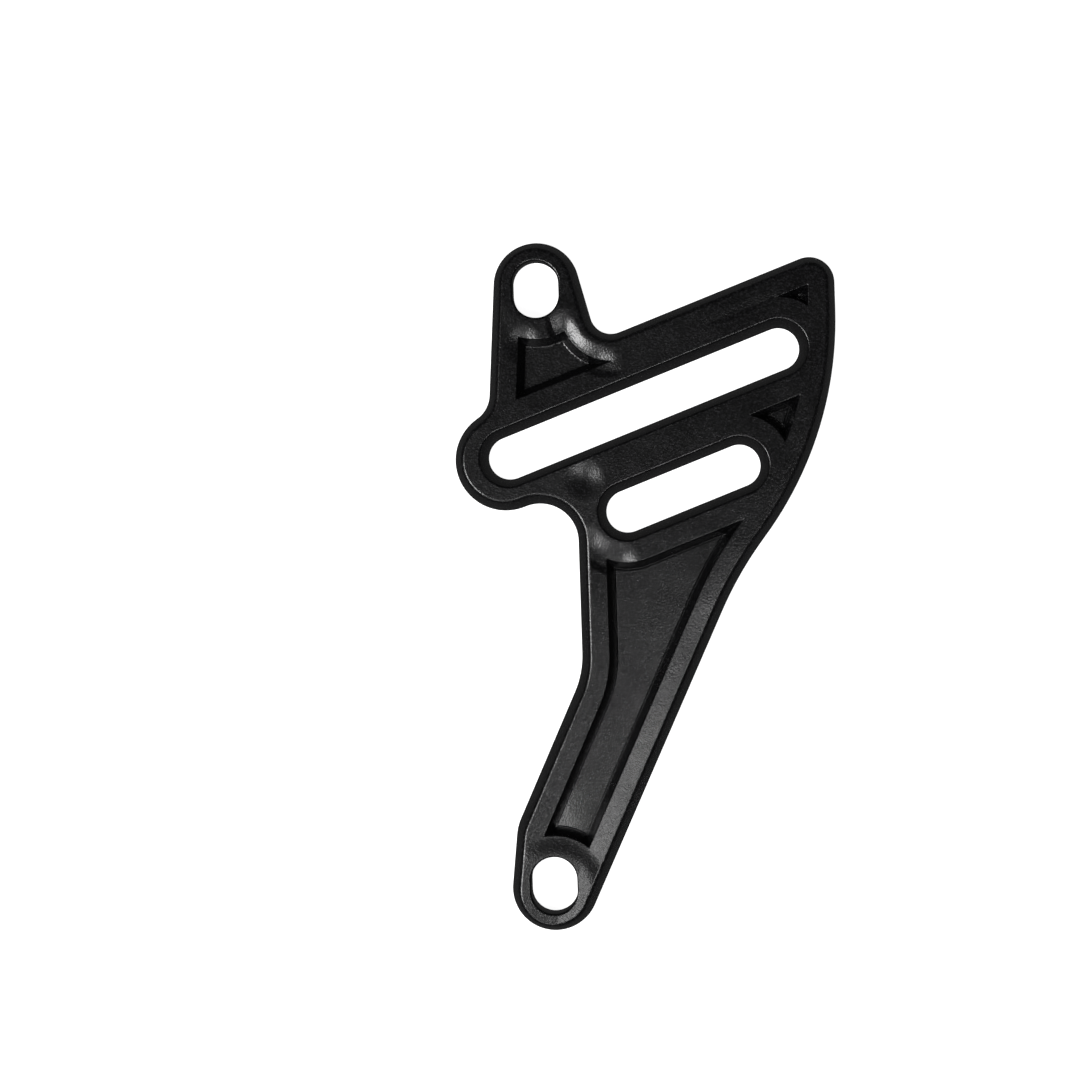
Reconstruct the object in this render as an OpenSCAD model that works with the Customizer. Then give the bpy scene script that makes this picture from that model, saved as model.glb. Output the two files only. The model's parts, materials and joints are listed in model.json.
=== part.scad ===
// Sprocket cover for an off-road motorcycle: one moulded plate with two bolt ears,
// two long windows and four shallow recesses between its ribs.
// It lies on its flat back, and the ribbed face looks up.
// The origin is on the back face, midway between the bolt holes, with +Y to the upper hole.

/* [Mounting] */
// Distance between the centres of the two bolt holes
bolt_spacing = 116.5; // [110:0.5:130]
// Width of each bolt hole, across the line through both
hole_w = 9; // [7:0.1:10]
// How much longer than wide each bolt hole is, along the line through both
hole_stretch = 2.1; // [0.4:0.1:3]
// Radius of the ear round each bolt hole, at the back face
ear_r = 8.5; // [8:0.1:9.5]
// Height of the boss round each bolt hole above the ribs
boss_rise = 0.4; // [0.3:0.1:2]
// Radius of the flat top of each boss
boss_top_r = 7.6; // [6.5:0.1:8]
// Radius of each boss where it meets the ribs
boss_foot_r = 9; // [8.4:0.1:9.2]
// Distance from the boss's centre to the recess beside it
boss_rib_r = 10.8; // [9.3:0.1:11.5]

/* [Plate] */
// Thickness from the back face to the top of the ribs
thick = 6; // [5:0.1:9]
// Thickness of the recess floors
floor_t = 2.6; // [1.5:0.1:4]
// Slope of the outer wall and of the windows' walls, from upright
wall_draft = 15; // [5:1:20]
// Slope of the recess walls, from upright
recess_draft = 20; // [10:1:25]
// Radius of the rounded top edges
edge_r = 0.6; // [0.2:0.1:1]
// Width of the rim between the outline and a recess
rim_w = 5.6; // [4.5:0.1:6]

/* [Windows] */
// Angle of both windows above the X axis
window_angle = 20.3; // [10:0.1:30]
// Width of both windows at the back face
window_w = 8.2; // [6:0.1:9]
// Left end of the long window, along X
window_x = -6.25; // [-10:0.05:-4]
// Left end of the long window, along Y
window_y = 25.5; // [22:0.1:29]
// Length of the long window, between the centres of its round ends
long_window_l = 57; // [45:0.5:60]
// Length of the short window, between the centres of its round ends
short_window_l = 23.8; // [15:0.1:28]
// Distance between the centre lines of the windows
window_gap = 18.4; // [16:0.1:19]
// How far the short window starts to the right of the long one
window_lag = 17.5; // [15:0.1:22]
// Width of the rib round each window, at the back face
window_rib_w = 5.9; // [4.5:0.1:6.5]
// Distance of the web that joins the two ribs, along the windows
web_reach = 11; // [10.6:0.1:11.4]
// Radius of the web that joins the two ribs and the rim
web_r = 1.8; // [1.6:0.1:2]

/* [Outline] */
// Distance from the long window's centre line to the top edge
top_edge = 15; // [12.5:0.1:17]
// Distance of the upper right corner's centre along the windows
corner_reach = 67.6; // [64:0.1:72]
// Radius of the upper right corner
corner_r = 5.1; // [2:0.1:7]
// Distance of the notch beside the upper ear, along the windows
notch_reach = 29.2; // [27:0.1:33]
// Radius of the notch beside the upper ear
notch_r = 4.1; // [2:0.1:5]
// Radius of the lobe round the left end of the long window
lobe_r = 10; // [9.5:0.1:12]
// How far the lobe's centre lies beyond the end of the long window
lobe_reach = 0.9; // [0:0.1:2]
// Radius of the crook between the lobe and the upper ear
crook_r = 5.8; // [3:0.1:7]
// Direction of the crook as seen from the lobe's centre
crook_dir = 123.3; // [118:0.1:130]
// Radius of the hollow between the lobe and the arm
hollow_r = 7.5; // [5:0.1:9]
// Left side of the arm, along X
arm_x = 6.65; // [5.5:0.05:8]
// Radius of the bend in the arm's left side
bend_r = 18; // [10:0.5:30]
// Centre of the bend, along Y
bend_y = -13.3; // [-20:0.1:-8]
// Radius of the shoulder above the lower ear
shoulder_r = 10; // [6:0.1:14]
// Distance of the shoulder's centre to the right of the lower bolt hole
shoulder_x = 2.6; // [1:0.1:4]
// Distance of the shoulder's centre above the lower ear's centre
shoulder_rise = 9.6; // [6:0.1:14]
// Radius of the long outward curve of the right side
flank_r = 72; // [60:1:85]
// Centre of the long outward curve, along Y
flank_y = 52.8; // [48:0.1:56]
// Radius of the long inward curve above the lower ear
waist_r = 74; // [50:1:100]
// Direction of the long inward curve as seen from the outward curve's centre
waist_dir = -38.2; // [-42:0.1:-36]

/* [Groove] */
// Length of the shallow groove in the top bar
groove_l = 15; // [8:0.5:20]
// Width of the groove
groove_w = 2.4; // [1:0.1:3]
// Depth of the groove
groove_d = 0.5; // [0.2:0.05:0.6]
// Distance of the groove's middle along the windows
groove_reach = 52.5; // [45:0.5:54]

/* [Hidden] */

plastic = [0.06, 0.06, 0.065];
// Greatest distance between a round side and its straight facets
facet_gap = 0.05;
// Radius left at a corner whose own radius is used up by an inward offset
least_r = 0.05;
// How far a cut reaches past the face that it opens
past = 1;
// Facets of the round cuts
$fn = 96;

hole_r = hole_w / 2;
hole_y = bolt_spacing / 2;
ear_y = hole_y + hole_stretch / 2;
window_r = window_w / 2;
window_rib_r = window_r + window_rib_w;
along = [cos(window_angle), sin(window_angle)];
across = [-sin(window_angle), cos(window_angle)];
window_end = [window_x, window_y];
short_start = on_windows(window_lag, -window_gap);
wall_run = tan(wall_draft);
recess_run = tan(recess_draft);

// A point given along the windows and across them, from the left end of the long one
function on_windows(run, rise) = window_end + run * along + rise * across;

// A point at a distance and a direction from another
function polar(from, distance, direction) =
    from + distance * [cos(direction), sin(direction)];

// A round of the outline, as centre and radius; the radius is negative where it is hollow
function bulge(centre, r) = [centre.x, centre.y, r];
function hollow(centre, r) = [centre.x, centre.y, -r];

corner = on_windows(corner_reach, top_edge - corner_r);
flank = [corner.x + corner_r - flank_r, flank_y];
lobe = on_windows(-lobe_reach, 0);
hollow_x = arm_x - hollow_r;
hollow_across = -(lobe_r + hollow_r);
hollow_along = (hollow_x - window_end.x - hollow_across * across.x) / along.x;

// The rounds of the outline, anticlockwise from the upper ear
rounds = [
    bulge([0, ear_y], ear_r),
    hollow(polar(lobe, lobe_r + crook_r, crook_dir), crook_r),
    bulge(lobe, lobe_r),
    hollow(on_windows(hollow_along, hollow_across), hollow_r),
    hollow([arm_x - bend_r, bend_y], bend_r),
    bulge([shoulder_x, shoulder_rise - ear_y], shoulder_r),
    bulge([0, -ear_y], ear_r),
    hollow(polar(flank, flank_r + waist_r, waist_dir), waist_r),
    bulge(flank, flank_r),
    bulge(corner, corner_r),
    hollow(on_windows(notch_reach, top_edge + notch_r), notch_r)
];

// Direction of the outward normal on the straight side from one round to the next
function side_normal(a, b) =
    atan2(b.y - a.y, b.x - a.x) - acos((a.z - b.z) / norm([b.x - a.x, b.y - a.y]));

// How far the outline turns on a round, to the left on a bulge and to the right on a hollow
function turn(r, from, to) = r > 0 ? (to - from + 720) % 360 : -((from - to + 720) % 360);

function steps(r, angle) = ceil(abs(angle) / (2 * acos(1 - facet_gap / abs(r))));

// Whether one round runs straight into the next, with no side between them
function touches(a, b) = norm([b.x - a.x, b.y - a.y]) - abs(a.z - b.z) < facet_gap / 100;

// Every point of the outline, as its round, its normal, and the round's middle normal and half turn
samples = [
    for (i = [0 : len(rounds) - 1])
        let (
            this = rounds[i],
            before = rounds[(i + len(rounds) - 1) % len(rounds)],
            after = rounds[(i + 1) % len(rounds)],
            from = side_normal(before, this),
            angle = turn(this.z, from, side_normal(this, after)),
            count = steps(this.z, angle)
        )
        for (k = [touches(before, this) ? 1 : 0 : count]) [this, from + angle * k / count, from + angle / 2, angle / 2]
];

// The outline grown outwards by a distance, or shrunk where it is negative
function ring(grow) = [
    for (s = samples)
        let (
            r = s[0].z + grow,
            kept = s[0].z > 0 ? max(r, least_r) : min(r, -least_r),
            centre = polar([s[0].x, s[0].y], (r - kept) / cos(s[3]), s[2])
        )
        polar(centre, kept, s[1])
];

// A closed band that follows the outline; each corner of its section is a height and a growth
module band(section) {
    count = len(samples);
    corners = len(section);
    polyhedron(
        points = [for (c = section) for (p = ring(c[1])) [p.x, p.y, c[0]]],
        faces = [
            for (k = [0 : corners - 1]) for (i = [0 : count - 1])
                let (j = (i + 1) % count, low = k * count, high = (k + 1) % corners * count)
                [high + i, high + j, low + j, low + i]
        ]
    );
}

// The outline as an upright solid between two heights, grown by a distance
module slab(low_z, high_z, grow) {
    translate([0, 0, low_z]) linear_extrude(height = high_z - low_z) polygon(ring(grow));
}

// The plate with its sloping outer wall and sharp edges
module sloped_plate(height) {
    difference() {
        slab(0, height, past);
        band([
            [-past, past * wall_run],
            [-past, 2 * past],
            [height + past, 2 * past],
            [height + past, -(height + past) * wall_run]
        ]);
    }
}

// The shape under a rounded top edge, upright and a little wider than the wall below the edge
module rounded_top(height) {
    edge_z = height - edge_r;
    edge = facet_gap - edge_z * wall_run;
    difference() {
        slab(-past, height, past);
        band(concat(
            [[edge_z, edge], [edge_z, 2 * past], [height + past, 2 * past]],
            [[height + past, edge - edge_r]],
            [for (a = [90, 45]) [edge_z + edge_r * sin(a), edge - edge_r * (1 - cos(a))]]
        ));
    }
}

// A long solid with round ends along the windows, whose radius changes with height
module capsule(length, low_z, low_r, high_z, high_r) {
    rise = high_z - low_z;
    translate([0, 0, low_z]) {
        cylinder(r1 = low_r, r2 = high_r, h = rise);
        translate([length, 0]) cylinder(r1 = low_r, r2 = high_r, h = rise);
        rotate([90, 0, 90])
            linear_extrude(height = length)
                polygon([[-low_r, 0], [low_r, 0], [high_r, rise], [-high_r, rise]]);
    }
}

module at_window(start) {
    translate(start) rotate(window_angle) children();
}

module at_ears() {
    for (side = [-1, 1]) translate([0, side * ear_y]) children();
}

// A window, with sloping walls and a top edge that slopes more
module window(start, length) {
    low_r = window_r - past * wall_run;
    edge_low_r = window_r + (thick - edge_r) * wall_run - facet_gap;
    at_window(start) {
        capsule(length, -past, low_r, thick + past, low_r + (thick + 2 * past) * wall_run);
        capsule(length, thick - edge_r, edge_low_r, thick + past, edge_low_r + edge_r + past);
    }
}

// The oblong bolt hole nearest to an ear
module bolt_hole(side) {
    height = thick + boss_rise + 2 * past;
    translate([0, side * hole_y, -past]) {
        for (end = [-1, 1])
            translate([0, end * hole_stretch / 2]) cylinder(r = hole_r, h = height);
        translate([-hole_r, -hole_stretch / 2]) cube([hole_w, hole_stretch, height]);
    }
}

module bosses() {
    slope = (boss_foot_r - boss_top_r) / boss_rise;
    at_ears() translate([0, 0, thick - past])
        cylinder(r1 = boss_foot_r + past * slope, r2 = boss_top_r, h = past + boss_rise);
}

// What the ribs round a window keep solid between the recess floors and the top
module window_rib(start, length) {
    run = (thick - floor_t + past) * recess_run;
    at_window(start)
        capsule(length, floor_t - past, window_rib_r + run,
            thick + past, window_rib_r - past * recess_run);
}

// What a web as round as r keeps solid between the recess floors and the top
module web_cone(r) {
    run = (thick - floor_t + past) * recess_run;
    translate([0, 0, floor_t - past])
        cylinder(r1 = r + run, r2 = r - past * recess_run, h = thick - floor_t + 2 * past);
}

// The field inside the rim, from the recess floors up, with its sloping wall
module rim_field() {
    run = (thick - floor_t + past) * recess_run;
    difference() {
        slab(floor_t, thick + past, 0);
        band([
            [floor_t - past, past],
            [thick + 2 * past, past],
            [thick + 2 * past, -rim_w + 2 * past * recess_run],
            [floor_t - past, -rim_w - run]
        ]);
    }
}

module recesses() {
    difference() {
        rim_field();
        window_rib(window_end, long_window_l);
        window_rib(short_start, short_window_l);
        at_ears() web_cone(boss_rib_r);
        translate(on_windows(web_reach, -window_rib_r)) web_cone(web_r);
    }
}

// The shallow groove where the rim and the long window's rib part, cut by a large ring
module groove() {
    ring_r = (groove_l * groove_l / 4 + groove_d * groove_d) / (2 * groove_d);
    tube_r = (groove_w * groove_w / 4 + groove_d * groove_d) / (2 * groove_d);
    at_window(on_windows(groove_reach, window_rib_r))
        translate([0, 0, thick - groove_d + ring_r])
            rotate([90, 0, 0])
                rotate_extrude() translate([ring_r - tube_r, 0]) circle(r = tube_r);
}

module sprocket_cover() {
    top = thick + boss_rise;
    color(plastic)
    difference() {
        intersection() {
            sloped_plate(top);
            union() {
                rounded_top(thick);
                intersection() {
                    rounded_top(top);
                    bosses();
                }
            }
        }
        recesses();
        groove();
        window(window_end, long_window_l);
        window(short_start, short_window_l);
        for (side = [-1, 1]) bolt_hole(side);
    }
}

sprocket_cover();
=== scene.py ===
import json
import math

import bmesh
import bpy
import numpy as np
from bpy.props import FloatProperty, FloatVectorProperty, PointerProperty
from bpy.types import Operator, Panel, PropertyGroup
from mathutils import Matrix, Vector, noise


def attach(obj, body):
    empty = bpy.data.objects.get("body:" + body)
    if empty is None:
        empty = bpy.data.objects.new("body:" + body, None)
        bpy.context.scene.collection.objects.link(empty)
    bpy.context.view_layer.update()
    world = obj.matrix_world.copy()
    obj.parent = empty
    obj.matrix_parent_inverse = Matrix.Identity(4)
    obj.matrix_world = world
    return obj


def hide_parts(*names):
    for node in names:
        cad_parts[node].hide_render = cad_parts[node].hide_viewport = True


bl_info = {
    "name": "Moulded Sprocket Cover",
    "version": (1, 0, 0),
    "blender": (4, 5, 0),
    "location": "3D View > Sidebar > Cover",
    "description": "Moulds a motorcycle sprocket cover and lays it on a studio floor",
    "category": "Object",
}

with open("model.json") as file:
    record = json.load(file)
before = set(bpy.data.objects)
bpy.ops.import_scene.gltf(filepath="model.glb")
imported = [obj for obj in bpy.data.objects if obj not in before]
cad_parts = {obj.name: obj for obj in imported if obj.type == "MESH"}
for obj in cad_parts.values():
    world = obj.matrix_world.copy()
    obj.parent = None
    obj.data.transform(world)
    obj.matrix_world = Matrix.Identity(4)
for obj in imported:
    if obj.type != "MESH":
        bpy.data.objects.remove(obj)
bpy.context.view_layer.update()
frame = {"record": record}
NODE = "sprocket_cover"
BOLTS = frame["record"]["mounts"][0]["dims"]
MM = 0.001

# Nothing that is told apart on the plate lies closer together than this
TINY = 1e-7
# Distance between the points at which a recess's edge is looked for
TRACE_STEP = 0.25 * MM
# A recess narrower than this has closed
LEAST_RECESS = 0.2 * MM
# How much further than its rounding a level strip beside a wall reaches
STRIP = 1.2
# Parts that a recess wall is cut into, so that its corners stay straight
WALL_PARTS = 5
# Step over which a face's slope is measured
SLOPE_STEP = 0.05 * MM
# How near to a cut an edge lies on it, as a share of the squares' size
ON_CUT = 1e-3

# Where the rib falls away beside a round: direction, half angle, start and end of the fall
NOTCH_FALL = (math.radians(228), math.radians(22), 6.6 * MM, 9.9 * MM)
WINDOW_FALL = (math.radians(240), math.radians(18), 5.9 * MM, 10.2 * MM)
# How many half angles a fall takes to fade out, and the distances over which it ends
FALL_SPREAD = 2.6
FALL_END = (11.6 * MM, 13 * MM)
# Stretch of the arm over which its right rim starts to lean, and how many rim widths it falls
LEAN_RUN = 20 * MM
LEAN_REACH = 1.2
# Where across its half width the groove is deepest
GROOVE_DEEPEST = -0.5

# The picture: its size, the point below the camera, the middle of the plate's bolt holes,
# their distance and the lean of the line through them, in pixels from the upper left corner
PICTURE = 1080
BELOW_CAMERA = (680, 510)
BETWEEN_HOLES = (546.1, 586.625)
HOLE_DISTANCE = 590.7
ROLL = math.radians(1.85)

# The studio: the floor's reach, the point that the lights are turned to, and their sizes
FLOOR_REACH = 1.5
LIT_POINT = (0.02, 0, 0)
NEAR_SIZE, LEFT_SIZE, LOW_SIZE = (0.08, 0.16), (0.16, 0.16), (0.2, 0.2)

# The plastic: its roughness where flow marks shine most and least, how much rougher a speck
# is, and the height of the grain
ROUGHNESS = (0.19, 0.26)
SPECK_ROUGHNESS = 0.03
GRAIN_HEIGHT = 0.036 * MM


def length(name, description, mm, low, high):
    """A length given in millimetres, as a property in metres"""
    return FloatProperty(
        name=name, description=description, default=mm * MM,
        min=low * MM, max=high * MM, unit="LENGTH", precision=5,
    )


def spot(name, description, mm):
    """A point given in millimetres, as a property in metres"""
    return FloatVectorProperty(
        name=name, description=description, default=[v * MM for v in mm],
        size=3, subtype="TRANSLATION",
    )


def power(name, description, watts):
    """The power of a light in watts"""
    return FloatProperty(name=name, description=description, default=watts, min=0, unit="POWER")


def fraction(name, description, value):
    """A plain number between 0 and 1"""
    return FloatProperty(name=name, description=description, default=value, min=0, max=1)


def angle(name, description, degrees, low, high):
    """An angle given in degrees, as a property in radians"""
    return FloatProperty(
        name=name, description=description, default=math.radians(degrees),
        min=math.radians(low), max=math.radians(high), unit="ROTATION",
    )


class PlateSizes(PropertyGroup):
    """Sizes of the plate, its bolt ears and its recesses"""

    bolt_spacing: length(
        "Bolt spacing", "Distance between the centres of the bolt holes",
        BOLTS["spacing_y_mm"], 100, 140,
    )
    hole_width: length("Hole width", "Width of a bolt hole", 2 * BOLTS["hole_r_mm"], 5, 12)
    hole_length: length("Hole length", "Length of a bolt hole", BOLTS["slot_length_mm"], 5, 16)
    ear_r: length("Ear radius", "Radius of the ear round a bolt hole", 8.5, 8, 9.5)
    boss_rib_r: length(
        "Boss rib radius", "Distance from a bolt ear's centre to the recess beside it", 10.8, 9.3, 11.5)
    thick: length("Thickness", "Height of the ribs above the back face", 6, 5, 9)
    floor_t: length("Floor thickness", "Height of the recess floors above the back face", 2.6, 1.5, 4)
    rim_w: length("Rim width", "Width of the rim between the outline and a recess", 5.6, 4.5, 6)
    wall_draft: angle("Wall draft", "Slope of the outer wall and the window walls", 15, 5, 20)
    recess_draft: angle("Recess draft", "Slope of the recess walls", 20, 10, 25)
    edge_r: length("Edge radius", "Radius of the outer edge of the ribbed face", 0.8, 0.2, 1)
    hole_edge_r: length(
        "Hole edge radius", "Radius of the upper edges of the windows and holes", 0.45, 0.2, 0.8)
    lip_r: length("Lip radius", "Radius of the edges of the recesses", 0.22, 0.1, 0.3)
    foot_r: length("Foot radius", "Radius at the bottom of the gutters", 0.04, 0.01, 0.1)
    gutter_w: length("Gutter width", "Width of the gutter round each recess floor", 0.36, 0.2, 0.6)
    gutter_d: length("Gutter depth", "Depth of the gutter round each recess floor", 0.22, 0.05, 0.4)
    back_r: length("Back edge radius", "Radius of the edges of the back face", 0.15, 0.05, 0.5)


class WindowSizes(PropertyGroup):
    """Sizes of the two windows and their ribs"""

    slant: angle("Slant", "Angle of both windows above the X axis", 20.3, 10, 30)
    width: length("Width", "Width of both windows at the back face", 8.2, 6, 9)
    start_x: length("Start X", "Left end of the long window, along X", -6.25, -10, -4)
    start_y: length("Start Y", "Left end of the long window, along Y", 25.5, 22, 29)
    long_l: length("Long window", "Distance between the long window's end centres", 57, 45, 60)
    short_l: length("Short window", "Distance between the short window's end centres", 23.8, 15, 28)
    gap: length("Gap", "Distance between the windows' centre lines", 18.4, 16, 19)
    lag: length("Lag", "How far the short window starts after the long one", 17.5, 15, 22)
    rib_w: length("Rib width", "Width of the rib round each window", 5.9, 4.5, 6.5)
    web_reach: length(
        "Web place", "Distance of the web between the ribs, along the windows", 11, 10.6, 11.4)
    web_r: length("Web radius", "Radius of the web between the ribs", 1.8, 1.6, 2)


class OutlineSizes(PropertyGroup):
    """Sizes of the rounds that the outline runs over"""

    top_edge: length("Top edge", "Distance of the top edge from the long window's line", 15, 12.5, 17)
    corner_reach: length("Corner reach", "Distance of the upper right corner", 67.6, 64, 72)
    corner_r: length("Corner radius", "Radius of the upper right corner", 5.1, 2, 7)
    notch_reach: length("Notch reach", "Distance of the notch beside the upper ear", 29.2, 27, 33)
    notch_r: length("Notch radius", "Radius of the notch beside the upper ear", 4.1, 2, 5)
    lobe_r: length("Lobe radius", "Radius round the long window's left end", 10, 9.5, 12)
    lobe_reach: length("Lobe reach", "How far the lobe lies beyond the window's end", 0.9, 0, 2)
    crook_r: length("Crook radius", "Radius between the lobe and the upper ear", 5.8, 3, 7)
    crook_dir: angle("Crook direction", "Direction of the crook from the lobe", 123.3, 118, 130)
    hollow_r: length("Hollow radius", "Radius between the lobe and the arm", 7.5, 5, 9)
    arm_x: length("Arm side", "Left side of the arm, along X", 6.65, 5.5, 8)
    bend_r: length("Bend radius", "Radius of the bend in the arm's left side", 18, 10, 30)
    bend_y: length("Bend place", "Centre of the bend, along Y", -13.3, -20, -8)
    shoulder_r: length("Shoulder radius", "Radius above the lower ear", 10, 6, 14)
    shoulder_x: length("Shoulder X", "Centre of the shoulder, along X", 2.6, 1, 4)
    shoulder_rise: length("Shoulder rise", "Height of the shoulder above the lower ear", 9.6, 6, 14)
    flank_r: length("Flank radius", "Radius of the long outward curve on the right", 72, 60, 85)
    flank_y: length("Flank place", "Centre of the outward curve, along Y", 52.8, 48, 56)
    waist_r: length("Waist radius", "Radius of the long inward curve on the right", 74, 50, 100)
    waist_dir: angle(
        "Waist direction", "Direction of the inward curve from the outward", -38.2, -42, -36)


class Skin(PropertyGroup):
    """How finely the moulded skin is divided, and how its faces rise, fall and have sunk"""

    facet_gap: length("Facet gap", "Greatest distance of a facet from its curve", 0.008, 0.002, 0.05)
    pitch: length("Pitch", "Size of the squares that a flat face is cut into", 0.5, 0.3, 3)
    notch_fall: length("Notch fall", "How far the rib falls away from the notch", 0.6, 0, 1)
    window_fall: length("Window fall", "How far the rib falls away at the short window", 0.52, 0, 1)
    upper_dent: spot("Upper dent", "Place of the soft dent between the windows", (8.4, 20.9, 0))
    upper_dent_r: length("Upper dent radius", "Radius of the dent between the windows", 4.5, 1, 10)
    ear_dent: spot(
        "Ear dent", "Place of the soft dent between the upper ear and its recess", (-2.8, 47.6, 0))
    ear_dent_r: length("Ear dent radius", "Radius of the dent below the upper ear", 4.2, 1, 10)
    lower_dent: spot("Lower dent", "Place of the soft dent at the lower end", (6, -48.5, 0))
    lower_dent_r: length("Lower dent radius", "Radius of the dent at the lower end", 9, 1, 12)
    dent_d: length("Dent depth", "Depth of the soft dents", 0.42, 0, 0.5)
    boss_top_r: length("Boss top", "Radius from which a boss falls softly", 6.8, 4, 8)
    boss_foot_r: length("Boss foot", "Radius at which a boss has fallen to the ribs", 10.8, 8, 12)
    groove_run: length("Groove place", "Distance of the groove's middle along the windows", 52.5, 45, 54)
    groove_d: length("Groove depth", "Depth of the soft groove in the top bar", 0.09, 0, 0.6)
    groove_w: length("Groove width", "Width of the soft groove in the top bar", 2.6, 1, 3)
    groove_l: length("Groove length", "Length of the soft groove in the top bar", 16, 8, 20)
    upper_rise: length("Upper boss rise", "Height of the upper boss above the ribs", 0.12, 0, 0.8)
    lower_rise: length("Lower boss rise", "Height of the lower boss above the ribs", 0.4, 0, 0.8)
    lean: length("Lean", "How far the arm's right rim falls towards its outer edge", 0.5, 0, 0.5)
    lean_y: length("Lean start", "Height up the arm below which its right rim leans fully", -12, -60, 30)
    sink: length("Sink", "How deep the faces have sunk in soft waves", 0.035, 0, 0.3)
    wave: length("Wave length", "Length of the soft waves", 9, 2, 50)


class Colours(PropertyGroup):
    """Colours of the plastic and of the studio"""

    plastic: FloatVectorProperty(
        name="Plastic", description="Colour of the moulded plastic",
        default=(0.0016, 0.0016, 0.0018), subtype="COLOR", size=3, min=0, max=1,
    )
    specks: FloatVectorProperty(
        name="Specks", description="Colour of the pale specks in the plastic",
        default=(0.014, 0.014, 0.0155), subtype="COLOR", size=3, min=0, max=1,
    )
    floor: FloatVectorProperty(
        name="Floor", description="Colour of the studio floor",
        default=(0.9, 0.9, 0.9), subtype="COLOR", size=3, min=0, max=1,
    )


class Studio(PropertyGroup):
    """Where the camera and the lights stand"""

    height: length("Camera height", "Height of the camera above the floor", 600, 300, 2000)
    near_x: length("Near light X", "Distance of the near light right of the camera", 66, -500, 500)
    near_y: length("Near light Y", "Distance of the near light above the camera", -200, -500, 500)
    near_power: power("Near light power", "Power of the light beside the camera", 0.55)
    left_place: spot("Left light", "Place of the light on the left", (-262, -103, 520))
    left_power: power("Left light power", "Power of the light on the left", 2.05)
    low_place: spot("Low light", "Place of the light at the lower end", (-125, -399, 424))
    low_power: power("Low light power", "Power of the light at the lower end", 0.4)
    room: fraction("Room light", "Brightness of the room around the floor", 0.045)
    floor_glow: fraction("Floor glow", "How brightly the floor is lit from below", 0.95)


def polar(start, distance, direction):
    """The point at a distance from another, in a direction"""
    return start + distance * Vector((math.cos(direction), math.sin(direction)))


def smooth(value, low, high):
    """0 below low, 1 above high, and a soft step between them"""
    t = min(max((value - low) / (high - low), 0), 1)
    return t * t * (3 - 2 * t)


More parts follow.
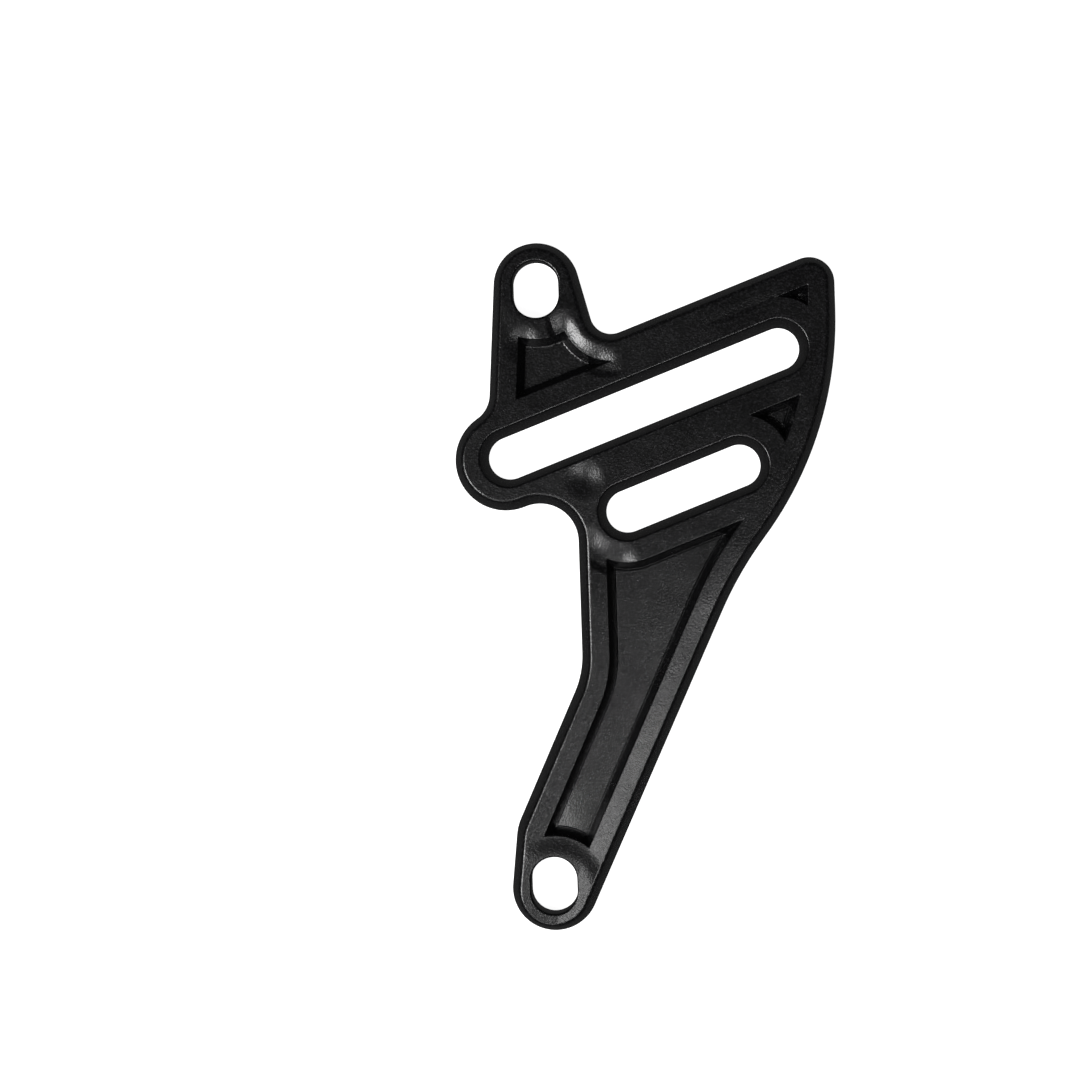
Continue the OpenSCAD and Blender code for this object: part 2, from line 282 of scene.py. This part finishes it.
class Layout:
    """Every place on the plate, worked out from the sizes"""

    def __init__(self, scene):
        self.plate, self.windows = scene.plate_sizes, scene.window_sizes
        self.skin = scene.skin_sizes
        p, w, o = self.plate, self.windows, scene.outline_sizes
        self.along = Vector((math.cos(w.slant), math.sin(w.slant)))
        self.across = Vector((-self.along.y, self.along.x))
        self.start = Vector((w.start_x, w.start_y))
        self.short = self.on_windows(w.lag, -w.gap)
        self.stretch = p.hole_length - p.hole_width
        self.ears = [Vector((0, side * (p.bolt_spacing + self.stretch) / 2)) for side in (1, -1)]
        self.holes = [Vector((0, side * p.bolt_spacing / 2)) for side in (1, -1)]
        self.capsules = [(self.start, w.long_l), (self.short, w.short_l)]
        self.window_r, self.rib_r = w.width / 2, w.width / 2 + w.rib_w
        self.arcs = 2 * math.ceil(math.pi / (2 * math.acos(1 - self.skin.facet_gap / self.rib_r)))
        corner = self.on_windows(o.corner_reach, o.top_edge - o.corner_r)
        flank = Vector((corner.x + o.corner_r - o.flank_r, o.flank_y))
        lobe = self.on_windows(-o.lobe_reach, 0)
        hollow_across = -(o.lobe_r + o.hollow_r)
        hollow_x = o.arm_x - o.hollow_r - self.start.x
        hollow_along = (hollow_x - hollow_across * self.across.x) / self.along.x
        self.notch = self.on_windows(o.notch_reach, o.top_edge + o.notch_r)
        rounds = [
            (self.ears[0], p.ear_r),
            (polar(lobe, o.lobe_r + o.crook_r, o.crook_dir), -o.crook_r),
            (lobe, o.lobe_r),
            (self.on_windows(hollow_along, hollow_across), -o.hollow_r),
            (Vector((o.arm_x - o.bend_r, o.bend_y)), -o.bend_r),
            (self.ears[1] + Vector((o.shoulder_x, o.shoulder_rise)), o.shoulder_r),
            (self.ears[1], p.ear_r),
            (polar(flank, o.flank_r + o.waist_r, o.waist_dir), -o.waist_r),
            (flank, o.flank_r),
            (corner, o.corner_r),
            (self.notch, -o.notch_r),
        ]
        self.samples = self.run_over(rounds)
        waist, normal = next((q[0], q[2]) for q in self.samples if q[1] == -o.waist_r)
        self.arm_side = Vector((math.cos(normal), math.sin(normal)))
        self.arm_reach = self.arm_side.dot(waist) - o.waist_r
        self.outline = np.array(self.ring(0))

    def on_windows(self, run, rise):
        """A point by how far it lies along the windows and above the long window's line"""
        return self.start + run * self.along + rise * self.across

    def run_over(self, rounds):
        """The outline's points, each as its round, its normal and the round's middle and half turn"""
        def side_normal(a, b):
            gap = b[0] - a[0]
            lean = min(max((a[1] - b[1]) / gap.length, -1), 1)
            return math.atan2(gap.y, gap.x) - math.acos(lean)

        samples = []
        befores, afters = rounds[-1:] + rounds[:-1], rounds[1:] + rounds[:1]
        for before, (centre, r), after in zip(befores, rounds, afters):
            start = side_normal(before, (centre, r))
            turn = (side_normal((centre, r), after) - start) % math.tau
            turn -= math.tau if r < 0 else 0
            count = math.ceil(abs(turn) / (2 * math.acos(1 - self.skin.facet_gap / abs(r))))
            touching = (centre - before[0]).length - abs(before[1] - r) < self.skin.facet_gap / 10
            for k in range(1 if touching else 0, count + 1):
                samples.append((centre, r, start + turn * k / count, start + turn / 2, turn / 2))
        return samples

    def ring(self, grow):
        """The outline grown outwards, with a sharp corner where a round has used up its radius"""
        least = self.skin.facet_gap
        points = []
        for centre, r, normal, middle, half in self.samples:
            kept = max(r + grow, least) if r > 0 else min(r + grow, -least)
            moved = polar(centre, (r + grow - kept) / math.cos(half), middle)
            points.append(polar(moved, kept, normal))
        return points

    def capsule(self, start, run, r):
        """The outline of a window, or of its rib, anticlockwise"""
        slant, count = self.windows.slant, self.arcs // 2
        turns = [slant - math.pi / 2 + math.pi * k / count for k in range(count + 1)]
        right = start + run * self.along
        return [polar(right, r, t) for t in turns] + [polar(start, r, t + math.pi) for t in turns]

    def oblong(self, centre, r):
        """The outline of a bolt hole, anticlockwise"""
        count = self.arcs // 2
        half = Vector((0, self.stretch / 2))
        turns = [math.pi * k / count for k in range(count + 1)]
        return [polar(centre + half, r, t) for t in turns] + [
            polar(centre - half, r, t + math.pi) for t in turns]

    def circle(self, centre, r):
        """A circle, anticlockwise"""
        return [polar(centre, r, math.tau * k / self.arcs) for k in range(self.arcs)]

    def depth_inside(self, points):
        """How deep each point lies inside the outline, negative outside it"""
        a, b = self.outline, np.roll(self.outline, -1, axis=0)
        side = b - a
        offset = points[:, None] - a[None]
        t = np.clip((offset * side).sum(2) / (side * side).sum(1), 0, 1)
        near = np.linalg.norm(offset - t[..., None] * side, axis=2).min(1)
        crosses = (a[:, 1] > points[:, None, 1]) != (b[:, 1] > points[:, None, 1])
        with np.errstate(divide="ignore", invalid="ignore"):
            at = a[:, 0] + (points[:, None, 1] - a[:, 1]) * side[:, 0] / side[:, 1]
        inside = (crosses & (points[:, None, 0] < at)).sum(1) % 2
        return np.where(inside == 1, near, -near)

    def recess_tests(self, into):
        """What bounds the recesses at a distance inside their edges: an outline and a test for each"""
        p = self.plate
        rib_r = self.rib_r + into

        def clear_of_window(start, run):
            def test(points):
                offset = points - np.array(start)
                t = np.clip(offset @ np.array(self.along), 0, run)
                return np.linalg.norm(offset - t[:, None] * np.array(self.along), axis=1) - rib_r
            return test

        def clear_of_round(centre, r):
            return lambda points: np.linalg.norm(points - np.array(centre), axis=1) - r

        rim = p.rim_w + into
        bounds = [(self.ring(-rim), lambda points: self.depth_inside(points) - rim)]
        for start, run in self.capsules:
            bounds.append((self.capsule(start, run, rib_r)[::-1], clear_of_window(start, run)))
        web = self.on_windows(self.windows.web_reach, -self.rib_r)
        for centre, r in [(ear, p.boss_rib_r) for ear in self.ears] + [(web, self.windows.web_r)]:
            bounds.append((self.circle(centre, r + into)[::-1], clear_of_round(centre, r + into)))
        return bounds


def spaced(points, step):
    """A closed line with more points, no further apart than a step"""
    out = []
    for a, b in zip(points, points[1:] + points[:1]):
        count = max(1, math.ceil((b - a).length / step))
        out += [a.lerp(b, k / count) for k in range(count)]
    return out


def recess_runs(layout, into):
    """The stretches of each bound that edge a recess, with the recess on their left"""
    bounds = layout.recess_tests(into)
    runs = []
    for i, (line, _) in enumerate(bounds):
        line = np.array(spaced(line, TRACE_STEP))
        room = np.min([test(line) for k, (_, test) in enumerate(bounds) if k != i], axis=0)
        free = room > 0
        for first in np.flatnonzero(free & ~np.roll(free, 1)):
            count = 1
            while free[(first + count) % len(line)]:
                count += 1
            at = [(first + k) % len(line) for k in range(-1, count + 1)]
            run = [Vector(line[k]) for k in at]
            run[0] = run[0].lerp(run[1], -room[at[0]] / (room[at[1]] - room[at[0]]))
            run[-1] = run[-1].lerp(run[-2], -room[at[-1]] / (room[at[-2]] - room[at[-1]]))
            runs.append(run)
    return runs


def split_at_corners(run, least=0.02 * MM, bend=math.radians(25)):
    """Parts a run where it turns a sharp corner of its own"""
    kept = [run[0]]
    for point in run[1:]:
        if (point - kept[-1]).length > least:
            kept.append(point)
    parts, part = [], [kept[0]]
    for before, point, after in zip(kept, kept[1:], kept[2:]):
        part.append(point)
        if (point - before).angle(after - point) > bend:
            parts.append(part)
            part = [point]
    return parts + [part + [run[-1]]]


def recess_loops(layout, into):
    """Each recess at a distance inside its edges, as a closed list of runs"""
    runs = recess_runs(layout, into)
    loops = []
    while runs:
        loop = [runs.pop()]
        while runs:
            end = loop[-1][-1]
            nearest = min(runs, key=lambda run: (run[0] - end).length)
            if (loop[0][0] - end).length < (nearest[0] - end).length:
                break
            runs.remove(nearest)
            loop.append(nearest)
        for run, after in zip(loop, loop[1:] + loop[:1]):
            run[-1] = after[0]
        loops.append([part for run in loop for part in split_at_corners(run)])
    return loops


def run_length(run):
    """The length of a line of points"""
    return sum((b - a).length for a, b in zip(run, run[1:]))


def resampled(run, count):
    """Evenly spaced points along a run, without its last one"""
    line = np.array(run)
    reach = np.concatenate(([0], np.cumsum(np.linalg.norm(np.diff(line, axis=0), axis=1))))
    at = np.linspace(0, reach[-1], count + 1)[:-1]
    return [Vector((np.interp(s, reach, line[:, 0]), np.interp(s, reach, line[:, 1]))) for s in at]


def loop_area(points):
    """The area inside a loop of points, positive if it runs anticlockwise"""
    return sum(a.cross(b) for a, b in zip(points, points[1:] + points[:1])) / 2


def filleted(corners, radii, segments=4):
    """A section line whose inner corners are rounded"""
    line = [corners[0]]
    for before, point, after, r in zip(corners, corners[1:], corners[2:], radii):
        a, b = (before - point).normalized(), (after - point).normalized()
        half = a.angle(b) / 2
        centre = point + (a + b).normalized() * r / math.sin(half)
        first = (point + a * r / math.tan(half) - centre).normalized()
        last = (point + b * r / math.tan(half) - centre).normalized()
        for k in range(segments + 1):
            line.append(centre + r * first.slerp(last, k / segments))
    return line + [corners[-1]]


def add_loop(bm, points, z):
    """A closed loop of edges through points at one height"""
    verts = [bm.verts.new((p.x, p.y, z)) for p in points]
    for a, b in zip(verts, verts[1:] + verts[:1]):
        bm.edges.new((a, b))
    return verts


def loop_edges(verts):
    """The edges between each vertex of a loop and the next"""
    return [
        next(e for e in a.link_edges if e.other_vert(a) is b)
        for a, b in zip(verts, verts[1:] + verts[:1])]


def draw_out(bm, verts, points, z):
    """Extrudes a loop and moves the new loop to its own points"""
    grown = bmesh.ops.extrude_edge_only(bm, edges=loop_edges(verts))["geom"]
    new = {g for g in grown if isinstance(g, bmesh.types.BMVert)}
    out = []
    for vert, point in zip(verts, points):
        partner = next(e.other_vert(vert) for e in vert.link_edges if e.other_vert(vert) in new)
        partner.co = (point.x, point.y, z)
        out.append(partner)
    return out


def sweep(bm, section, points_at):
    """A wall through a loop for each corner of its section; gives its first and last loops"""
    verts = first = add_loop(bm, points_at(section[0].x), section[0].y)
    for corner in section[1:]:
        verts = draw_out(bm, verts, points_at(corner.x), corner.y)
    return first, verts


def fill(bm, loops):
    """Fills the face between loops"""
    edges = [e for verts in loops for e in loop_edges(verts)]
    made = bmesh.ops.triangle_fill(
        bm, use_beauty=True, use_dissolve=False, edges=edges, normal=(0, 0, 1))
    return [g for g in made["geom"] if isinstance(g, bmesh.types.BMFace)]


def cut_across(bm, faces, normal, places):
    """Cuts faces at each place along a direction, halving the work at each step"""
    if not places or not faces:
        return faces
    middle = places[len(places) // 2]
    edges = {e for f in faces for e in f.edges}
    verts = {v for f in faces for v in f.verts}
    made = bmesh.ops.bisect_plane(
        bm, geom=[*verts, *edges, *faces], dist=TINY, plane_co=normal * middle, plane_no=normal)
    whole = [g for g in made["geom"] if isinstance(g, bmesh.types.BMFace)]
    far = [f for f in whole if f.calc_center_median().dot(normal) > middle]
    near = [f for f in whole if f.calc_center_median().dot(normal) <= middle]
    half = len(places) // 2
    return cut_across(bm, near, normal, places[:half]) + cut_across(bm, far, normal, places[half + 1:])


def cut_into_squares(bm, faces, pitch):
    """Cuts a flat face into squares, and joins what its filling had parted inside a square"""
    for normal in (Vector((1, 0, 0)), Vector((0, 1, 0))):
        reach = [v.co.dot(normal) for f in faces for v in f.verts]
        count = range(math.ceil(min(reach) / pitch), math.floor(max(reach) / pitch) + 1)
        faces = cut_across(bm, faces, normal, [k * pitch for k in count])

    def on_a_cut(edge):
        for i in (0, 1):
            a, b = (v.co[i] / pitch for v in edge.verts)
            if abs(a - b) < ON_CUT and abs(a - round(a)) < ON_CUT:
                return True
        return False

    inner = set(faces)
    seams = [e for e in {e for f in faces for e in f.edges}
             if len(e.link_faces) == 2 and set(e.link_faces) <= inner and not on_a_cut(e)]
    bmesh.ops.dissolve_edges(bm, edges=seams, use_verts=False, use_face_split=False)


def corner_reach(slope, r):
    """How far the rounding of an edge between a level face and a sloping wall reaches"""
    return r * math.tan((math.pi / 2 - slope) / 2)


def recess_levels(layout, section):
    """For each recess, its loop at each corner of the section for as long as it is open"""
    recesses = [[loop] for loop in recess_loops(layout, section[0].x)]
    for depth, corner in enumerate(section[1:], 1):
        loops = recess_loops(layout, corner.x)
        # Between two corners a loop's runs move by little more than the step, its ends by more
        most = MM + 3 * abs(corner.x - section[depth - 1].x)
        for levels in recesses:
            above = levels[-1]
            matches = []
            for loop in loops:
                if (
                    len(levels) < depth or len(loop) != len(above)
                    or loop_area(corners_of(loop)) < LEAST_RECESS ** 2
                ):
                    continue
                for k in range(len(loop)):
                    turned = loop[k:] + loop[:k]
                    away = sum((a[0] - b[0]).length for a, b in zip(above, turned)) / len(loop)
                    matches.append((away, len(matches), turned))
            if matches and min(matches)[0] < most:
                levels.append(min(matches)[2])
    return recesses


def corners_of(loop):
    """The points of a loop of runs, each once"""
    return [point for part in loop for point in part[:-1]]


def mould_walls(bm, layout):
    """Every wall of the plate; gives the loops that bound the back, the top and the floors"""
    p = layout.plate
    run = math.tan(p.wall_draft)
    back, top = [], []
    back_in = STRIP * corner_reach(-p.wall_draft, p.back_r)
    top_in = STRIP * corner_reach(p.wall_draft, p.edge_r)
    window_in = STRIP * corner_reach(p.wall_draft, p.hole_edge_r)

    outer = filleted([
        Vector((-back_in, 0)), Vector((0, 0)),
        Vector((-p.thick * run, p.thick)), Vector((-p.thick * run - top_in, p.thick)),
    ], (p.back_r, p.edge_r))
    first, last = sweep(bm, outer, layout.ring)
    back.append(first)
    top.append(last)

    window = filleted([
        Vector((back_in, 0)), Vector((0, 0)),
        Vector((p.thick * run, p.thick)), Vector((p.thick * run + window_in, p.thick)),
    ], (p.back_r, p.hole_edge_r))
    for start, length_ in layout.capsules:
        loops = sweep(bm, window, lambda grow: layout.capsule(start, length_, layout.window_r + grow))
        back.append(loops[0])
        top.append(loops[1])

    hole = filleted([
        Vector((STRIP * p.back_r, 0)), Vector((0, 0)),
        Vector((0, p.thick)), Vector((STRIP * p.hole_edge_r, p.thick)),
    ], (p.back_r, p.hole_edge_r))
    for centre in layout.holes:
        loops = sweep(bm, hole, lambda grow: layout.oblong(centre, p.hole_width / 2 + grow))
        back.append(loops[0])
        top.append(loops[1])

    bottom = p.floor_t - p.gutter_d
    foot = (p.thick - bottom) * math.tan(p.recess_draft)
    recess = filleted([
        Vector((-corner_reach(p.recess_draft, p.lip_r), p.thick)), Vector((0, p.thick)),
        Vector((foot, bottom)), Vector((foot + p.gutter_w / 4, bottom)),
        Vector((foot + p.gutter_w, p.floor_t)), Vector((foot + 2 * p.gutter_w, p.floor_t)),
    ], (p.lip_r, p.foot_r, p.foot_r, p.gutter_w / 2))
    lip_end = max(k for k, corner in enumerate(recess) if corner.y > p.thick - p.lip_r)
    wall = [
        recess[lip_end].lerp(recess[lip_end + 1], k / WALL_PARTS) for k in range(1, WALL_PARTS)]
    recess[lip_end + 1:lip_end + 1] = wall
    floors = []
    for levels in recess_levels(layout, recess):
        counts = [max(3, math.ceil(run_length(part) / layout.skin.pitch)) for part in levels[0]]
        lines = [[q for part, n in zip(loop, counts) for q in resampled(part, n)] for loop in levels]
        lowest = add_loop(bm, lines[0], recess[0].y)
        top.append(lowest)
        for line, corner in zip(lines[1:], recess[1:]):
            lowest = draw_out(bm, lowest, line, corner.y)
        floors.append(lowest)
    return back, top, floors


def mould(layout):
    """The plate as it leaves the mould, before it shrinks"""
    bm = bmesh.new()
    back, top, floors = mould_walls(bm, layout)
    fill(bm, back)
    for loops in [top, *([loop] for loop in floors)]:
        cut_into_squares(bm, fill(bm, loops), layout.skin.pitch)
    bmesh.ops.triangulate(bm, faces=[f for f in bm.faces if len(f.verts) > 4])
    bmesh.ops.recalc_face_normals(bm, faces=bm.faces)
    return bm


def fall(value, low, high):
    """1 below low, 0 above high, and a soft step between them"""
    return 1 - smooth(value, low, high)


def fallen(away, direction, half_angle, start, end):
    """How much of its fall the rib has made at an offset from the round beside it"""
    off = abs((math.atan2(away.y, away.x) - direction + math.pi) % math.tau - math.pi)
    sector = fall(off, half_angle, FALL_SPREAD * half_angle)
    return sector * smooth(away.length, start, end) * fall(away.length, *FALL_END)


def grooved(layout, at):
    """How deep the groove is at a place, as a share of its depth"""
    skin = layout.skin
    away = at - layout.on_windows(skin.groove_run, layout.rib_r)
    taper = math.sqrt(max(0, 1 - (2 * away.dot(layout.along) / skin.groove_l) ** 2))
    if not taper:
        return 0
    t = 2 * away.dot(layout.across) / (skin.groove_w * taper)
    return taper * max(0, min((1 - t) / (1 - GROOVE_DEEPEST), (1 + t) / (1 + GROOVE_DEEPEST)))


def rise_at(layout, at):
    """How far the ribs' top has risen at a place: the bosses rise, the rest falls or dips"""
    skin = layout.skin
    rise = 0
    for ear, height in zip(layout.ears, (skin.upper_rise, skin.lower_rise)):
        rise += height * fall((at - ear).length, skin.boss_top_r, skin.boss_foot_r)
    rise -= skin.notch_fall * fallen(at - layout.notch, *NOTCH_FALL)
    rise -= skin.window_fall * fallen(at - layout.short, *WINDOW_FALL)
    along_arm = fall(at.y, skin.lean_y, skin.lean_y + LEAN_RUN)
    inside = (layout.arm_reach - at.dot(layout.arm_side)) / layout.plate.rim_w
    rise -= skin.lean * along_arm * min(max(1 - inside, 0), LEAN_REACH)
    rise -= skin.groove_d * grooved(layout, at)
    return rise


def sink_at(layout, at, share):
    """The soft waves of the faces, two dents in the ribs' top and one in the long floor"""
    skin = layout.skin
    waves = noise.fractal(Vector((at.x, at.y, 0)) / skin.wave, 1, 2, 2)
    upper = fall((at - skin.upper_dent.xy).length, 0, skin.upper_dent_r)
    upper += fall((at - skin.ear_dent.xy).length, 0, skin.ear_dent_r)
    lower = fall((at - skin.lower_dent.xy).length, 0, skin.lower_dent_r)
    return skin.sink * waves - skin.dent_d * (upper * share + lower * (1 - share))


def shrink(bm, layout):
    """Moves the plate's faces as the moulding has; gives the normals of its level faces"""
    p, step = layout.plate, SLOPE_STEP
    normals = {}
    for vert in bm.verts:
        at, z = vert.co.xy, vert.co.z
        share = smooth(z, p.floor_t, p.thick)

        def height(at):
            raised = share * rise_at(layout, at) if share else 0
            return raised + smooth(z, p.floor_t / 2, p.floor_t) * sink_at(layout, at, share)

        if min(abs(z - p.thick), abs(z - p.floor_t)) < TINY:
            here = height(at)
            slope_x = (height(at + Vector((step, 0))) - here) / step
            slope_y = (height(at + Vector((0, step))) - here) / step
            normals[vert.index] = Vector((-slope_x, -slope_y, 1)).normalized()
        elif z < TINY:
            normals[vert.index] = Vector((0, 0, -1))
        vert.co.z += height(at)
    return normals


def new_object(name, bm):
    """An object at the origin with the mesh of a bmesh, which ends here"""
    mesh = bpy.data.meshes.new(name)
    bm.to_mesh(mesh)
    bm.free()
    piece = bpy.data.objects.new(name, mesh)
    bpy.context.scene.collection.objects.link(piece)
    return piece


def moulding_grain():
    """Fine grain, soft flow marks and pale specks, as a height and two masks"""
    group = bpy.data.node_groups.new("moulding_grain", "ShaderNodeTree")
    for name, value in (("Grain size", 0.32 * MM), ("Mark size", 16 * MM), ("Speck size", 0.45 * MM)):
        socket = group.interface.new_socket(name, in_out="INPUT", socket_type="NodeSocketFloat")
        socket.default_value = value
    group.interface.new_socket("Place", in_out="INPUT", socket_type="NodeSocketVector")
    for name in ("Height", "Marks", "Specks"):
        group.interface.new_socket(name, in_out="OUTPUT", socket_type="NodeSocketFloat")
    nodes, links = group.nodes, group.links
    start, end = nodes.new("NodeGroupInput"), nodes.new("NodeGroupOutput")

    def cloud(size_name, detail, rough):
        scale = nodes.new("ShaderNodeMath")
        scale.operation = "DIVIDE"
        scale.inputs[0].default_value = 1
        links.new(start.outputs[size_name], scale.inputs[1])
        texture = nodes.new("ShaderNodeTexNoise")
        texture.inputs["Detail"].default_value = detail
        texture.inputs["Roughness"].default_value = rough
        links.new(start.outputs["Place"], texture.inputs["Vector"])
        links.new(scale.outputs[0], texture.inputs["Scale"])
        return texture.outputs["Fac"]

    def spread(value, low, high):
        ramp = nodes.new("ShaderNodeMapRange")
        ramp.interpolation_type = "SMOOTHSTEP"
        ramp.inputs["From Min"].default_value = low
        ramp.inputs["From Max"].default_value = high
        links.new(value, ramp.inputs["Value"])
        return ramp.outputs["Result"]

    links.new(cloud("Grain size", 1, 0.5), end.inputs["Height"])
    links.new(spread(cloud("Mark size", 3, 0.55), 0.2, 0.8), end.inputs["Marks"])
    links.new(spread(cloud("Speck size", 2, 0.7), 0.42, 0.72), end.inputs["Specks"])
    return group


def plastic_material(colour, specks):
    """Black plastic with a satin grain, flow marks and pale specks"""
    material = bpy.data.materials.new("satin_plastic")
    material.use_nodes = True
    nodes, links = material.node_tree.nodes, material.node_tree.links
    shader = nodes["Principled BSDF"]
    shader.inputs["IOR"].default_value = 1.5
    place = nodes.new("ShaderNodeTexCoord")
    grain = nodes.new("ShaderNodeGroup")
    grain.node_tree = moulding_grain()
    links.new(place.outputs["Object"], grain.inputs["Place"])

    gloss = nodes.new("ShaderNodeMapRange")
    gloss.inputs["To Min"].default_value = ROUGHNESS[0]
    gloss.inputs["To Max"].default_value = ROUGHNESS[1]
    links.new(grain.outputs["Marks"], gloss.inputs["Value"])
    specked = nodes.new("ShaderNodeMath")
    specked.operation = "MULTIPLY_ADD"
    specked.inputs[1].default_value = SPECK_ROUGHNESS
    links.new(grain.outputs["Specks"], specked.inputs[0])
    links.new(gloss.outputs["Result"], specked.inputs[2])
    links.new(specked.outputs[0], shader.inputs["Roughness"])

    mix = nodes.new("ShaderNodeMix")
    mix.data_type = "RGBA"
    mix.inputs["A"].default_value = (*colour, 1)
    mix.inputs["B"].default_value = (*specks, 1)
    links.new(grain.outputs["Specks"], mix.inputs["Factor"])
    links.new(mix.outputs["Result"], shader.inputs["Base Color"])

    bump = nodes.new("ShaderNodeBump")
    bump.inputs["Strength"].default_value = 1
    bump.inputs["Distance"].default_value = GRAIN_HEIGHT
    links.new(grain.outputs["Height"], bump.inputs["Height"])
    links.new(bump.outputs["Normal"], shader.inputs["Normal"])
    return material


def floor_material(colour, glow):
    """A pale floor without a sheen, lit from below"""
    material = bpy.data.materials.new("studio_floor")
    material.use_nodes = True
    shader = material.node_tree.nodes["Principled BSDF"]
    shader.inputs["Base Color"].default_value = (*colour, 1)
    shader.inputs["Roughness"].default_value = 0.9
    shader.inputs["Specular IOR Level"].default_value = 0
    shader.inputs["Emission Color"].default_value = (1, 1, 1, 1)
    shader.inputs["Emission Strength"].default_value = glow
    return material


class COVER_OT_plate(Operator):
    """Mould the plate with its windows, recesses and bosses, and give it its finish"""

    bl_idname = "cover.plate"
    bl_label = "Plate"

    def execute(self, context):
        scene = context.scene
        layout = Layout(scene)
        bm = mould(layout)
        bm.verts.index_update()
        level = shrink(bm, layout)
        for face in bm.faces:
            face.smooth = True
        plate = new_object("moulded_plate", bm)
        normals = [level.get(k, n.vector) for k, n in enumerate(plate.data.vertex_normals)]
        plate.data.normals_split_custom_set_from_vertices(normals)
        colours = scene.cover_colours
        plate.data.materials.append(plastic_material(colours.plastic, colours.specks))
        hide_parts(NODE)
        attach(plate, "root")
        return {"FINISHED"}


def add_light(name, place, size, watts):
    """A rectangular light at a place, turned to the plate"""
    light = bpy.data.lights.new(name, "AREA")
    light.shape = "RECTANGLE"
    light.size, light.size_y = size
    light.energy = watts
    lamp = bpy.data.objects.new(name, light)
    lamp.matrix_world = Matrix.Translation(place) @ (
        (Vector(LIT_POINT) - Vector(place)).to_track_quat("-Z", "Y").to_matrix().to_4x4()
    )
    bpy.context.scene.collection.objects.link(lamp)


class COVER_OT_studio(Operator):
    """Lay the pale floor, hang the lights and set up the camera"""

    bl_idname = "cover.studio"
    bl_label = "Studio"

    def execute(self, context):
        scene = context.scene
        studio = scene.cover_studio
        bm = bmesh.new()
        bmesh.ops.create_grid(bm, x_segments=1, y_segments=1, size=FLOOR_REACH)
        floor = new_object("studio_floor", bm)
        floor.data.materials.append(floor_material(scene.cover_colours.floor, studio.floor_glow))
        floor.visible_glossy = False

        world = bpy.data.worlds.new("dark_room")
        world.use_nodes = True
        world.node_tree.nodes["Background"].inputs["Color"].default_value = (1, 1, 1, 1)
        world.node_tree.nodes["Background"].inputs["Strength"].default_value = studio.room
        scene.world = world
        scene.view_settings.view_transform = "Standard"

        pixel = scene.plate_sizes.bolt_spacing / HOLE_DISTANCE
        right = Vector((math.cos(ROLL), -math.sin(ROLL), 0))
        up = Vector((math.sin(ROLL), math.cos(ROLL), 0))
        (u, v), (middle_u, middle_v) = BELOW_CAMERA, BETWEEN_HOLES
        eye = right * ((u - middle_u) * pixel) + up * ((middle_v - v) * pixel)
        eye += Vector((0, 0, studio.height))
        data = bpy.data.cameras.new("camera")
        camera = bpy.data.objects.new("camera", data)
        turn = Matrix((right, up, (0, 0, 1))).transposed().to_4x4()
        camera.matrix_world = Matrix.Translation(eye) @ turn
        data.sensor_width = 36
        data.lens = data.sensor_width * studio.height / (PICTURE * pixel)
        data.shift_x = (PICTURE / 2 - u) / PICTURE
        data.shift_y = -(PICTURE / 2 - v) / PICTURE
        data.clip_start = 0.01
        scene.collection.objects.link(camera)
        scene.camera = camera

        near = Vector((eye.x + studio.near_x, eye.y + studio.near_y, studio.height))
        add_light("near_light", near, NEAR_SIZE, studio.near_power)
        add_light("left_light", studio.left_place, LEFT_SIZE, studio.left_power)
        add_light("low_light", studio.low_place, LOW_SIZE, studio.low_power)
        return {"FINISHED"}


class COVER_PT_panel(Panel):
    """Lists the steps and the values that they use"""

    bl_idname = "COVER_PT_panel"
    bl_label = "Sprocket Cover"
    bl_space_type = "VIEW_3D"
    bl_region_type = "UI"
    bl_category = "Cover"

    def draw(self, context):
        for name in GROUPS:
            group = getattr(context.scene, name)
            self.layout.label(text=group.bl_rna.description)
            for field in group.__annotations__:
                self.layout.prop(group, field)
        for step in STEPS:
            self.layout.operator(step.bl_idname)


STEPS = (COVER_OT_plate, COVER_OT_studio)
GROUPS = {
    "plate_sizes": PlateSizes,
    "window_sizes": WindowSizes,
    "outline_sizes": OutlineSizes,
    "skin_sizes": Skin,
    "cover_colours": Colours,
    "cover_studio": Studio,
}
CLASSES = (*GROUPS.values(), *STEPS, COVER_PT_panel)


def register():
    for cls in CLASSES:
        bpy.utils.register_class(cls)
    for name, group in GROUPS.items():
        setattr(bpy.types.Scene, name, PointerProperty(type=group))


def unregister():
    for name in GROUPS:
        delattr(bpy.types.Scene, name)
    for cls in reversed(CLASSES):
        bpy.utils.unregister_class(cls)


def main():
    register()
    bpy.ops.cover.plate()
    bpy.ops.cover.studio()


if __name__ == "__main__":
    main()
